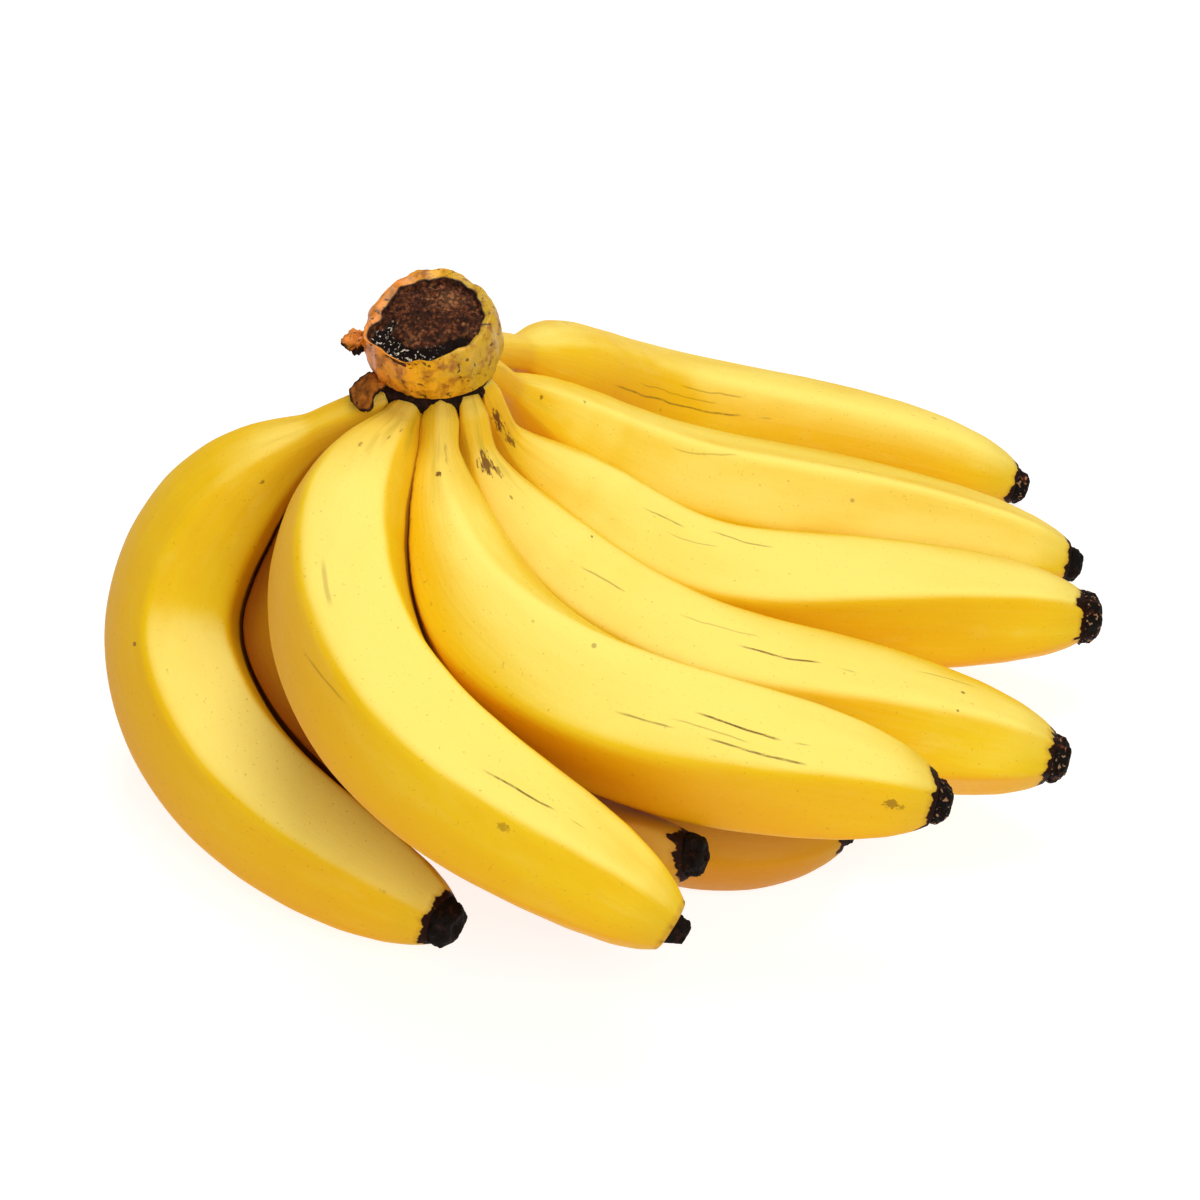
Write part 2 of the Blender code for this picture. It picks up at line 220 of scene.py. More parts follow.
def mesh_object(name, vertices, faces, look, attributes=()):
    """A smooth-shaded mesh object from layout points, with float or vector point attributes."""
    mesh = bpy.data.meshes.new(name)
    mesh.from_pydata(to_metres(vertices).tolist(), [], faces)
    mesh.update()
    for key, values in attributes:
        values = np.asarray(values, dtype=np.float32)
        kind, field = ("FLOAT_VECTOR", "vector") if values.ndim == 2 else ("FLOAT", "value")
        mesh.attributes.new(key, kind, "POINT").data.foreach_set(field, values.ravel())
    mesh.polygons.foreach_set("use_smooth", [True] * len(mesh.polygons))
    mesh.materials.append(look)
    made = bpy.data.objects.new(name, mesh)
    bpy.context.scene.collection.objects.link(made)
    return made


def tube_faces(rings, sides):
    """Quads round a tube of rings, and a fan of triangles to a last vertex at each end."""
    faces = []
    for i in range(rings - 1):
        for j in range(sides):
            k = (j + 1) % sides
            faces.append((i * sides + j, i * sides + k, (i + 1) * sides + k, (i + 1) * sides + j))
    first, last = rings * sides, rings * sides + 1
    top = (rings - 1) * sides
    for j in range(sides):
        k = (j + 1) % sides
        faces.append((k, j, first))
        faces.append((top + j, top + k, last))
    return faces


def closed_tube(name, grid, look, attributes=()):
    """A closed body through a grid of rings of points, each end closed at its ring's middle."""
    rings, sides = grid.shape[:2]
    points = np.concatenate((grid.reshape(-1, 3), grid[:1].mean(axis=1), grid[-1:].mean(axis=1)))
    full = []
    for key, values in attributes:
        flat = values.reshape(rings * sides, -1)
        ends = np.stack((values[0].mean(axis=0), values[-1].mean(axis=0))).reshape(2, -1)
        full.append((key, np.squeeze(np.concatenate((flat, ends)))))
    return mesh_object(name, points, tube_faces(rings, sides), look, full)


def waves(draw, count, turns, reach):
    """A few random waves round and along a fruit: a function of angle and share of the length."""
    parts = [(draw.integers(1, turns + 1), draw.uniform(1.0, reach), draw.uniform(0.0, math.tau, 2),
              draw.uniform(0.4, 1.0)) for _ in range(count)]

    def height(angle, share):
        total = sum(size * np.cos(round_ * angle + phase[0]) * np.cos(run * math.tau * share + phase[1])
                    for round_, run, phase, size in parts)
        return total / count

    return height


def press(grid, other, give):
    """The room that points have to another fruit; where they give way, those too near it are moved out."""
    radius, stalk, neck, tip, _, _, knots = FRUITS[other]
    spine = Spine(knots)
    distances = np.arange(-ROOT_DEPTH, spine.length, 1.0)
    middle = spine.at(distances)[0]
    limits = radius * girth_along(distances, stalk, neck, tip, spine.length) + PEEL_GAP
    room = np.empty(grid.shape[:2])
    for row, points in enumerate(grid):
        away = points[:, None, :] - middle[None, :, :]
        reach = np.linalg.norm(away, axis=2)
        nearest = reach.argmin(axis=1)
        picked = np.arange(len(points))
        far = reach[picked, nearest]
        room[row] = far - limits[nearest]
        if give:
            push = np.maximum(-room[row], 0.0) / far
            grid[row] = points + away[picked, nearest] * push[:, None]
    return room


def peel(number, look):
    radius, stalk, neck, tip, roll, end_roll, knots = FRUITS[number]
    draw = np.random.default_rng(100 + number)
    spine = Spine(knots)
    end = spine.length - BODY_END
    count = int((end + ROOT_DEPTH) / PEEL_STEP)
    distances = np.linspace(-ROOT_DEPTH, end, count)
    share = np.clip(distances / spine.length, 0.0, 1.0)[:, None]
    girth = girth_along(distances, stalk, neck, tip, spine.length)
    girth *= np.where(distances < 0.0, 1.0 + (1.0 - ROOT_TAPER) * distances / ROOT_DEPTH, 1.0)
    angle = np.linspace(0.0, math.tau, PEEL_SIDES, endpoint=False)[None, :]
    turn = np.radians(np.interp(distances, (0.0, spine.length), (roll, end_roll)))[:, None]
    warp = 0.08 * np.sin(angle + draw.uniform(0.0, math.tau))
    warp = warp + 0.05 * np.sin(2 * angle + draw.uniform(0.0, math.tau))
    strength = 0.9 + 0.2 * np.cos(angle - draw.uniform(0.0, math.tau))
    strength = strength * np.clip(0.55 + 1.2 * share, 0.0, 1.15)
    strength = strength * (1.0 - 0.6 * np.clip((share - 0.90) / 0.10, 0.0, 1.0))
    relief = ridge_relief(angle + warp) * strength
    lumps = waves(draw, 7, 4, 5.0)(angle, share)
    wrinkles = waves(draw, 6, 26, 2.0)(angle, share) * np.clip(1.0 - share / 0.2, 0.0, 1.0)
    reach = (radius * (1.0 + relief) - PEEL_INSET + 0.25 * lumps) * girth[:, None] + 0.22 * wrinkles
    turned = angle + turn
    place, upward, sideways = spine.at(distances)
    grid = place[:, None, :] + (upward[:, None, :] * np.cos(turned)[..., None]
                                + sideways[:, None, :] * np.sin(turned)[..., None]) * reach[..., None]
    near = np.full(grid.shape[:2], FAR)
    for first, second in PRESSED:
        if number in (first, second):
            near = np.minimum(near, press(grid, first + second - number, number == first))
    # The end of the peel rounds in to the dried end, and its lip rolls in round it.
    onward = unit(place[-1] - place[-2])
    narrow = min(1.0, tip / girth[-1])
    rounded = []
    for turn_in in np.radians(SHOULDER_TURNS):
        scale = narrow + (1.0 - narrow) * math.cos(turn_in)
        step = SHOULDER_REACH * (1.0 - narrow) * math.sin(turn_in)
        rounded.append(place[-1] + (grid[-1] - place[-1]) * scale + onward * step)
    rounded.append(place[-1] + (grid[-1] - place[-1]) * narrow * 0.85)
    rounded.append(place[-3] + (grid[-1] - place[-1]) * narrow * 0.6)
    grid = np.concatenate((grid, np.array(rounded)))
    grid[:, :, 2] = np.maximum(grid[:, :, 2], 0.0)
    more = len(rounded)
    skin = np.empty(grid.shape)
    skin[..., 0] = np.append(distances, [end] * more)[:, None]
    skin[:-more, :, 1] = np.cos(turned)
    skin[:-more, :, 2] = np.sin(turned)
    skin[-more:, :, 1:] = skin[-more - 1, :, 1:]
    ridge = np.clip(0.5 + relief / 0.07, 0.0, 1.0)
    ridge = np.concatenate([ridge] + [ridge[-1:]] * more)
    near = np.concatenate([near] + [near[-1:]] * more)
    made = closed_tube(f"peel_{number}", grid, look, [("skin", skin), ("ridge", ridge), ("near", near)])
    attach(made, "root")
    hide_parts(f"banana_{number}")


# The dried flower end: distance past the end of the peel, share of the peel's least radius there.
DRIED_END = [(-2.0, 0.6), (-1.0, 0.86), (0.0, 1.0), (0.8, 1.02), (1.8, 0.99), (3.0, 0.92), (4.0, 0.80),
             (4.7, 0.62), (4.6, 0.46), (4.1, 0.30), (3.7, 0.12)]
DRIED_SIDES = 64
DRIED_STEPS = 6           # rings for each step of the profile
DRIED_RAG = 0.7           # depth of its raggedness, mm


def refine(table, steps):
    """Rows of a table with smooth rows put between them, by a Catmull-Rom curve through them."""
    table = np.array(table, dtype=float)
    padded = np.concatenate((2 * table[:1] - table[1:2], table, 2 * table[-1:] - table[-2:-1]))
    rows = []
    for i in range(len(table) - 1):
        a, b, c, d = padded[i:i + 4]
        for t in np.linspace(0.0, 1.0, steps, endpoint=i == len(table) - 2):
            rows.append(b + 0.5 * t * (c - a + t * (2 * a - 5 * b + 4 * c - d + t * (3 * (b - c) + d - a))))
    return np.array(rows)


def rough(point, size, octaves=3):
    """Noise in -1 to 1 at a point, for features of about this size in mm."""
    return noise.fractal(Vector(point) / size, 0.9, 2.1, octaves)


def dried_end(number, look):
    radius, _, _, tip, _, end_roll, knots = FRUITS[number]
    spine = Spine(knots)
    end = spine.length - BODY_END
    profile = refine(DRIED_END, DRIED_STEPS)
    place, upward, sideways = spine.at(end + profile[:, 0])
    angle = np.linspace(0.0, math.tau, DRIED_SIDES, endpoint=False)[None, :]
    turned = angle + math.radians(end_roll)
    lobes = (1.0 + 0.05 * np.cos(RIDGES * angle) + 0.04 * np.cos(3 * angle + number)
             + 0.03 * np.cos(8 * angle))
    reach = radius * tip * profile[:, 1:] * lobes
    outward = (upward[:, None, :] * np.cos(turned)[..., None]
               + sideways[:, None, :] * np.sin(turned)[..., None])
    grid = place[:, None, :] + outward * reach[..., None]
    for i, row in enumerate(grid):
        for j, point in enumerate(row):
            depth = DRIED_RAG * (0.4 + 0.6 * (profile[i, 0] > 0.0))
            shift = rough(point, 2.6) + 0.4 * rough(point + 50.0, 0.9)
            grid[i, j] = point + outward[i, j] * depth * (shift - 0.35)
    made = closed_tube(f"dried_tip_{number}", grid, look)
    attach(made, "root")
    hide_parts(f"dried_end_{number}")


# The crown: its side from the underside up, as height, radius and darkness of the collar.
CROWN_MIDDLE = (-40.0, -25.0)
CROWN_SIDE = [(89.0, 4.0, 1), (90.6, 9.0, 1), (92.4, 12.4, 1), (93.8, 14.2, 1), (95.0, 15.0, 1),
              (96.3, 15.1, 1), (97.5, 14.6, 1), (98.3, 13.9, 1), (98.9, 13.8, 0.7), (99.8, 14.4, 0),
              (101.6, 15.4, 0),
              (104.5, 16.2, 0), (107.5, 16.4, 0), (110.0, 16.2, 0)]
COLLAR_SLACK = 1.6        # the collar stands out this much less on its right side
CROWN_LUMPS = [(2, 0.015, 0.4), (3, 0.012, 1.9), (5, 0.008, 0.8)]   # waves round it, share of radius, phase
# The cut: its middle, its outline as degrees and radius, and how its rim rises to the right and to the back.
CUT_MIDDLE = (-40.5, -26.5, 115.0)
CUT_OUTLINE = [(-170, 14.6), (-158, 16.4), (-150, 15.9), (-117, 15.2), (-95, 14.6), (-75, 13.8), (-47, 13.0),
               (-17, 13.2), (10, 12.9), (35, 13.2), (53, 13.7), (75, 13.6), (89, 13.7), (105, 13.8),
               (121, 13.4), (145, 12.2), (166, 11.9), (177, 12.6)]
CUT_RISE = (0.8, 2.1)
RIM_STEPS = 16            # rings from the widest part up to the rim
RIM_WIDTH = [(-170, 1.0), (-150, 0.6), (-60, 0.5), (-10, 1.2), (10, 1.6), (35, 1.0), (57, 1.0), (84, 2.6),
             (108, 3.2), (128, 1.5), (163, 1.4)]
RIM_SLOPE = 0.30          # how far the lip falls for each mm inward
RIM_EDGE = [(0.0, 0.0), (0.35, -0.25), (0.6, -0.9), (0.8, -1.6)]     # inward from the lip and up, mm
FLOOR_STEPS = 40
FLOOR_DEPTH = 1.5
FLOOR_DOME = 1.6          # the woody middle stands this much over the floor's edge
FISSURE_DEPTH = 2.4       # of the split along the front of the floor
FISSURE_PLACE = 0.81      # and where it is and how wide, as shares of the way from the middle to the edge
FISSURE_WIDTH = 0.15
FOLDS = [(13, 0.22, 0.5), (21, 0.14, 2.0)]     # soft upright folds round the skin: count, height, phase
CROWN_SIDES = 300
CROWN_STEPS = 5


def cut_radius(angle):
    degrees, radii = zip(*CUT_OUTLINE)
    smoothed = [np.interp((np.degrees(angle) + shift + 180.0) % 360.0 - 180.0, degrees, radii, period=360.0)
                for shift in (-4.0, -2.0, 0.0, 2.0, 4.0)]
    return sum(smoothed) / len(smoothed)


def rim_height(angle):
    return CUT_MIDDLE[2] + CUT_RISE[0] * np.cos(angle) + CUT_RISE[1] * np.sin(angle)


def crown(look):
    angle = np.linspace(0.0, math.tau, CROWN_SIDES, endpoint=False)
    round_ = np.stack((np.cos(angle), np.sin(angle)), axis=1)
    lumps = 1.0 + sum(size * np.cos(count * angle + phase) for count, size, phase in CROWN_LUMPS)
    edge = cut_radius(angle) + 0.25 * np.cos(9.0 * angle) + 0.2 * np.cos(17.0 * angle + 1.0)
    front = np.clip(-np.sin(angle + 0.35) * 1.6, 0.0, 1.0)
    lip = np.interp((np.degrees(angle) + 180.0) % 360.0 - 180.0, *zip(*RIM_WIDTH), period=360.0)
    rings, collar, cut, fissure = [], [], [], []

    def add(middle, reach, height, dark, sunk, split):
        ring = np.empty((CROWN_SIDES, 3))
        ring[:, :2] = np.array(middle[:2]) + round_ * reach[:, None]
        ring[:, 2] = height
        rings.append(ring)
        for store, value in ((collar, dark), (cut, sunk), (fissure, split)):
            store.append(np.zeros(CROWN_SIDES) + value)

    for height, radius, dark in refine(CROWN_SIDE, CROWN_STEPS):
        slack = COLLAR_SLACK * dark * np.clip(np.cos(angle + 0.35), 0.0, 1.0)
        add(CROWN_MIDDLE, radius * lumps - (slack if radius > 12.0 else 0.0), height, dark, 0.0, 0.0)
    wide = rings[-1]
    rim = np.empty_like(wide)
    rim[:, :2] = np.array(CUT_MIDDLE[:2]) + round_ * (edge + lip)[:, None]
    rim[:, 2] = rim_height(angle) + 0.3 * np.cos(5.0 * angle) + 0.15 * np.cos(11.0 * angle)
    for i in range(1, RIM_STEPS + 1):
        climb = math.pi / 2.0 * i / RIM_STEPS
        ring = wide.copy()
        ring[:, :2] += (rim[:, :2] - wide[:, :2]) * (1.0 - math.cos(climb)) ** 0.8
        ring[:, 2] += (rim[:, 2] - wide[:, 2]) * math.sin(climb)
        rings.append(ring)
        for store in (collar, cut, fissure):
            store.append(np.zeros(CROWN_SIDES))
    for share in (0.2, 0.4, 0.6, 0.8):
        height = rim[:, 2] - RIM_SLOPE * lip * share ** 1.5
        add(CUT_MIDDLE, edge + lip * (1.0 - share), height, 0.0, 0.0, 0.0)
    inner = rim[:, 2] - RIM_SLOPE * lip
    for inward, upward in refine(RIM_EDGE, 3):
        add(CUT_MIDDLE, edge - inward, inner + upward, 0.0, min(inward / 0.5, 1.0), 0.0)
    within = edge - RIM_EDGE[-1][0]
    for share in np.linspace(0.97, 0.03, FLOOR_STEPS):
        split = np.exp(-((share - FISSURE_PLACE) / FISSURE_WIDTH) ** 2) * front
        level = CUT_MIDDLE[2] + (inner - CUT_MIDDLE[2]) * share
        height = level - FLOOR_DEPTH + FLOOR_DOME * (1.0 - share ** 2) - FISSURE_DEPTH * split
        add(CUT_MIDDLE, within * share, height, 0.0, 1.0, np.clip(split * 1.5, 0.0, 1.0))
    grid, collar, cut, fissure = np.array(rings), np.array(collar), np.array(cut), np.array(fissure)
    middle = np.array([*CROWN_MIDDLE, 105.0])
    for i, row in enumerate(grid):
        for j, point in enumerate(row):
            if cut[i, j] > 0.9:
                grid[i, j, 2] += 0.55 * rough(point, 1.3, 4) + 0.45 * rough(point, 4.0) - 0.25
            else:
                shift = 0.30 * rough(point, 6.0) + 0.14 * rough(point, 1.6) - 0.1
                rise = np.clip((point[2] - 99.0) / 4.0, 0.0, 1.0)
                rise = rise * np.clip((115.0 - point[2]) / 3.0, 0.0, 1.0)
                folded = sum(size * math.cos(count * angle[j] + phase) for count, size, phase in FOLDS)
                shift += rise * folded
                shift += collar[i, j] * (0.7 * rough(point, 2.2) - 0.1)
                grid[i, j] = point + unit(point - middle) * shift
    made = closed_tube("crown_bulb", grid, look, [("collar", collar), ("cut", cut), ("fissure", fissure)])
    belong(made)
    lump("crown_nodule", NODULE_CENTRE, NODULE_RADII, look)
    bract(look)


def belong(piece):
    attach(piece, "root")
    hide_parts("crown")


NODULE_CENTRE = (-58.6, -26.0, 107.0)
NODULE_RADII = (3.6, 2.8, 3.4)
NODULE_SIDES = 48


def lump(name, centre, radii, look):
    """A knobbly rounded lump."""
    down = np.linspace(0.06, math.pi - 0.06, NODULE_SIDES // 2)[:, None]
    angle = np.linspace(0.0, math.tau, NODULE_SIDES, endpoint=False)[None, :]
    ball = np.stack(np.broadcast_arrays(
        np.sin(down) * np.cos(angle), np.sin(down) * np.sin(angle), np.cos(down)), axis=2)
    grid = np.array(centre) + ball * np.array(radii)
    for i, row in enumerate(grid):
        for j, point in enumerate(row):
            grid[i, j] = point + ball[i, j] * (1.5 * rough(point, 2.2) + 0.35 * rough(point, 0.8) - 0.5)
    # darker towards its underside, in the crown's dark band colours, with random patches
    dark = np.clip(0.44 - ball[..., 2] * 0.5, 0.0, 1.0)
    for i, row in enumerate(grid):
        dark[i] += [0.25 * rough(point, 1.4) for point in row]
    made = closed_tube(name, grid[::-1], look, [("collar", dark[::-1]), ("cut", np.zeros(dark.shape)),
                                                ("fissure", np.zeros(dark.shape))])
    belong(made)


# The dried scrap of bract that stands up off the first stalk, from the crease under the crown: distance
# along the stalk, lift off it, and the angles from its upper side that it spans.
BRACT_FRUIT = 1
BRACT = [(-7.5, 0.0, 70.0, 105.0), (-5.5, 1.5, 58.0, 104.0), (-3.5, 2.4, 42.0, 100.0),
         (-1.5, 2.4, 33.0, 96.0), (0.5, 1.8, 38.0, 91.0), (2.2, 1.4, 56.0, 82.0)]
BRACT_CLEARANCE = 0.8
BRACT_THICKNESS = 0.6
BRACT_STEPS = 40          # across it
BRACT_ROWS = 6            # for each step along it
BRACT_RAG = 6.0           # degrees that its sides wander
BRACT_CRUMPLE = 0.45      # mm that its faces wander


def bract(look):
    radius, _, neck, _, _, _, knots = FRUITS[BRACT_FRUIT]
    inner = radius * neck + BRACT_CLEARANCE
    table = refine(BRACT, BRACT_ROWS)
    place, upward, sideways = Spine(knots).at(table[:, 0])
    rings = []
    for centre, up, side, (distance, lift, low, high) in zip(place, upward, sideways, table):
        points = []
        for reach, way in ((inner + lift + BRACT_THICKNESS, 1.0), (inner + lift, -1.0)):
            for step in np.linspace(-0.5, 0.5, BRACT_STEPS + 1) * way:
                rag = BRACT_RAG * 2.0 * step * rough((distance * 1.5, 4.0 * np.sign(step), 5.0), 2.0)
                angle = math.radians((low + high) / 2.0 + (high - low) * step + rag)
                crumple = BRACT_CRUMPLE * rough((distance, angle * 7.0, 1.0), 2.2)
                points.append(centre + (up * math.cos(angle) + side * math.sin(angle)) * (reach + crumple))
        rings.append(points)
    grid = np.array(rings)
    across = np.abs(np.linspace(-1.0, 1.0, BRACT_STEPS + 1))
    across = np.concatenate((across, across))[None, :]
    lengthways = np.abs(np.linspace(-1.0, 1.0, len(grid)))[:, None]
    dark = 0.48 + 0.15 * np.clip(np.maximum(across, lengthways) * 5.0 - 4.0, 0.0, 1.0)
    for i, row in enumerate(grid):
        dark[i] += [0.08 * rough(point, 2.0) for point in row]
    nothing = np.zeros(dark.shape)
    made = closed_tube("crown_bract", grid, look, [("collar", dark), ("cut", nothing), ("fissure", nothing)])
    belong(made)


class Look:
    """A material with a Principled shader, and short ways to build nodes in front of it."""

    def __init__(self, name):
        self.material = bpy.data.materials.new(name)
        self.material.use_nodes = True
        self.tree = self.material.node_tree
        self.shader = self.tree.nodes["Principled BSDF"]

    def add(self, kind, inputs=(), **settings):
        node = self.tree.nodes.new(kind)
        for key, value in settings.items():
            setattr(node, key, value)
        for key, value in dict(inputs).items():
            self.put(node.inputs[key], value)
        return node

    def put(self, socket, value):
        if isinstance(value, bpy.types.NodeSocket):
            self.tree.links.new(value, socket)
        else:
            socket.default_value = value

    def math(self, operation, *values, clamp=False):
        node = self.add("ShaderNodeMath", operation=operation, use_clamp=clamp)
        for socket, value in zip(node.inputs, values):
            self.put(socket, value)
        return node.outputs[0]

    def attribute(self, name, output="Fac"):
        return self.add("ShaderNodeAttribute", attribute_name=name).outputs[output]

    def noise(self, vector, scale, detail=3.0, roughness=0.55, distortion=0.0):
        node = self.add("ShaderNodeTexNoise", {"Vector": vector, "Scale": scale, "Detail": detail,
                                               "Roughness": roughness, "Distortion": distortion})
        return node.outputs["Fac"]

    def stretch(self, vector, scale, offset=(0.0, 0.0, 0.0)):
        node = self.add("ShaderNodeMapping", {"Vector": vector, "Scale": scale, "Location": offset})
        return node.outputs[0]

    def range(self, value, low, high, out_low=0.0, out_high=1.0, smooth=True):
        node = self.add("ShaderNodeMapRange", interpolation_type="SMOOTHSTEP" if smooth else "LINEAR")
        for socket, given in zip(node.inputs, (value, low, high, out_low, out_high)):
            self.put(socket, given)
        return node.outputs[0]

    def mix(self, factor, first, second, blend="MIX"):
        node = self.add("ShaderNodeMix", data_type="RGBA", blend_type=blend)
        self.put(node.inputs[0], factor)
        for socket, colour in zip(node.inputs[6:8], (first, second)):
            self.put(socket, colour if isinstance(colour, bpy.types.NodeSocket) else (*colour, 1.0))
        return node.outputs[2]

    def bump(self, height, strength, distance):
        node = self.add("ShaderNodeBump", {"Height": height, "Strength": strength, "Distance": distance})
        return node.outputs[0]


YELLOW = (0.88, 0.60, 0.008)
WARM_YELLOW = (0.86, 0.54, 0.005)
PALE_YELLOW = (0.96, 0.80, 0.18)
# painted shade: deeper yellow on peel turned from the light and near other fruits
PAINTED_SHADE_YELLOW = (0.80, 0.38, 0.002)
# painted shade in the creases where fruits touch
PAINTED_CREASE_SHADE = (0.36, 0.10, 0.007)
# painted shade laid over the whole peel of the inner row
SHADED_PEEL = (0.50, 0.17, 0.004)
FRINGES = {2: -0.3, 1: 0.8, 6: 0.7, 7: 0.7}     # how far up the peel its dried edge runs, where not 1
INNER_ROW = (8, 9)
INNER_SHADE = 0.75        # how strongly painted shade darkens the peel of the inner row
PAINTED_LIGHT_SIDE = (0.22, -0.22, 0.95)    # the direction of the painted light: peel facing it is painted paler as a painted highlight
OLIVE = (0.50, 0.36, 0.02)
NECK = (0.80, 0.46, 0.02)
BROWN = (0.15, 0.045, 0.006)
STREAK = (0.13, 0.05, 0.008)
RUSTY_PEEL = (0.42, 0.16, 0.012)
DRIED_PEEL = (0.018, 0.006, 0.004)
ORANGE_SKIN = (0.80, 0.25, 0.020)
OCHRE_SKIN = (0.88, 0.42, 0.010)
OLIVE_SKIN = (0.56, 0.34, 0.007)
DEEP_SKIN = (0.30, 0.09, 0.006)
RUST = (0.30, 0.08, 0.01)
BLACK_TIP = (0.005, 0.003, 0.002)
RED_TIP = (0.10, 0.022, 0.008)
PALE_TIP = (0.50, 0.28, 0.14)
BLACK_WOOD = (0.010, 0.005, 0.004)
DARK_WOOD = (0.045, 0.014, 0.008)
RED_WOOD = (0.20, 0.060, 0.022)
PALE_WOOD = (0.38, 0.16, 0.065)
WHITE_FLECK = (0.75, 0.68, 0.56)
PALE_PATCH = (-39.6, 24.3, 115.0)     # the pale spot on the cut, in the row frame
CROWN_LEFT = -59.0        # from here to here across the row frame its skin turns from orange to olive
CROWN_RIGHT = -32.0
FLECKS_FROM = -48.0
FLECKS_TO = -38.0
SKIN_RADIUS = 17.0        # the usual fruit's, which turns angles into mm across the peel


def peel_look(number):
    look = Look(f"banana_peel_{number}")
    length = Spine(FRUITS[number][-1]).length
    skin = look.attribute("skin", "Vector")
    parts = look.add("ShaderNodeSeparateXYZ", {"Vector": skin}).outputs
    along = parts["X"]
    angle = look.math("ARCTAN2", parts["Z"], parts["Y"])
    place = look.stretch(skin, (1.0, SKIN_RADIUS, SKIN_RADIUS), (number * 37.0, number * 11.0, 0.0))
    share = look.math("DIVIDE", along, length)

    tone = look.noise(look.stretch(place, (0.02, 0.06, 0.06)), 1.0, 3.0)
    colour = look.mix(look.range(tone, 0.35, 0.65), WARM_YELLOW, YELLOW)
    blush = look.noise(look.stretch(place, (0.05, 0.12, 0.12)), 1.0, 4.0, 0.6)
    colour = look.mix(look.range(blush, 0.5, 0.75, 0.0, 0.18), colour, PALE_YELLOW)
    grain = look.noise(look.stretch(place, (0.03, 0.9, 0.9)), 1.0, 4.0, 0.6)
    colour = look.mix(look.range(grain, 0.45, 0.75, 0.0, 0.08), colour, PALE_YELLOW)

    # Painted light and shade: peel facing the painted light's direction is painted pale yellow as a painted
    # highlight, and peel turned away from it deeper yellow as painted shade.
    normal = look.add("ShaderNodeNewGeometry").outputs["Normal"]
    facing = look.add("ShaderNodeVectorMath", {0: normal, 1: PAINTED_LIGHT_SIDE}, operation="DOT_PRODUCT")
    facing = facing.outputs["Value"]
    level = look.math("ADD", facing, look.range(tone, 0.3, 0.7, -0.05, 0.05, smooth=False))
    colour = look.mix(look.range(level, 0.72, 1.0, 0.0, 0.95), colour, PALE_YELLOW)
    colour = look.mix(look.range(level, -0.05, 0.82, 1.0, 0.0), colour, PAINTED_SHADE_YELLOW)
    # Painted shade between fruits: deeper yellow where a neighbour is near, and a dark painted crease line
    # where they touch.
    near = look.attribute("near")
    colour = look.mix(look.range(near, 0.1, 1.6, 0.4, 0.0), colour, PAINTED_SHADE_YELLOW)
    colour = look.mix(look.range(near, 0.0, 0.45, 0.75, 0.0), colour, PAINTED_CREASE_SHADE)
    # The inner row lies in shade: painted shade over all its peel, and painted crease shade spread wider
    # round its neighbours.
    if number in INNER_ROW:
        colour = look.mix(INNER_SHADE, colour, SHADED_PEEL)
        colour = look.mix(look.range(near, 0.5, 7.0, 0.8, 0.0), colour, PAINTED_CREASE_SHADE)

    neck = look.range(share, 0.02, 0.20, 1.0, 0.0)
    colour = look.mix(look.math("MULTIPLY", neck, 0.5), colour, NECK)
    green = look.noise(look.stretch(place, (0.06, 0.2, 0.2)), 1.0, 2.0)
    colour = look.mix(look.math("MULTIPLY", neck, look.range(green, 0.5, 0.75, 0.0, 0.5)), colour, OLIVE)
    tip = look.range(share, 0.90, 1.0, 0.0, 0.35)
    colour = look.mix(tip, colour, OLIVE)

    fringe = look.noise(look.stretch(place, (0.13, 0.13, 0.13)), 1.0, 2.5, 0.6)
    tongue = look.range(look.attribute("ridge"), 0.6, 1.0)
    tongue = look.math("MULTIPLY", tongue, look.range(fringe, 0.48, 0.60))
    edge = look.range(fringe, 0.30, 0.70, 0.2, 2.2, smooth=False)
    edge = look.math("ADD", edge, look.math("MULTIPLY", tongue, 1.2))
    edge = look.math("MULTIPLY", edge, FRINGES.get(number, 1.0))
    left = look.math("SUBTRACT", look.math("SUBTRACT", length - BODY_END, along), edge)
    colour = look.mix(look.range(left, 0.0, 1.6, 0.45, 0.0), colour, RUSTY_PEEL)
    dried = look.range(left, -0.1, 0.3, 1.0, 0.0)
    colour = look.mix(dried, colour, DRIED_PEEL)

    cells = look.add("ShaderNodeTexVoronoi", {"Vector": place, "Scale": 0.13, "Randomness": 1.0})
    chosen = look.add("ShaderNodeSeparateXYZ", {"Vector": cells.outputs["Color"]}).outputs
    size = look.range(chosen["X"], 0.70, 1.0, 0.01, 0.075)
    speck = look.range(look.math("SUBTRACT", cells.outputs["Distance"], size), 0.0, 0.025, 1.0, 0.0)
    speck = look.math("MULTIPLY", speck, look.math("GREATER_THAN", chosen["X"], 0.70))
    speck = look.math("MULTIPLY", speck, look.range(chosen["Y"], 0.0, 1.0, 0.15, 0.75))
    colour = look.mix(speck, colour, BROWN)

    dust = look.noise(place, 1.1, 2.0, 0.6)
    colour = look.mix(look.range(dust, 0.66, 0.74, 0.0, 0.35), colour, RUSTY_PEEL)
    waver = look.noise(look.stretch(place, (0.05, 0.05, 0.05)), 1.0, 2.0)
    broken = look.noise(look.stretch(place, (0.30, 2.0, 2.0)), 1.0, 3.0, 0.7)
    for fruit, start, stop, degrees, last_degrees, half_width, darkness in STREAKS:
        if fruit != number:
            continue
        run = look.range(share, start, stop, math.radians(degrees), math.radians(last_degrees), smooth=False)
        across = look.math("MULTIPLY", look.math("SUBTRACT", angle, run), SKIN_RADIUS)
        across = look.math("ADD", across, look.range(waver, 0.3, 0.7, -0.5, 0.5))
        line = look.range(look.math("ABSOLUTE", across), half_width * 0.5, half_width * 1.5, 1.0, 0.0)
        reach = look.math("MULTIPLY", look.range(share, start, start + 0.03),
                          look.range(share, stop - 0.02, stop, 1.0, 0.0))
        line = look.math("MULTIPLY", line, reach)
        line = look.math("MULTIPLY", line, look.range(broken, 0.35, 0.55, 0.3, darkness))
        colour = look.mix(line, colour, STREAK)

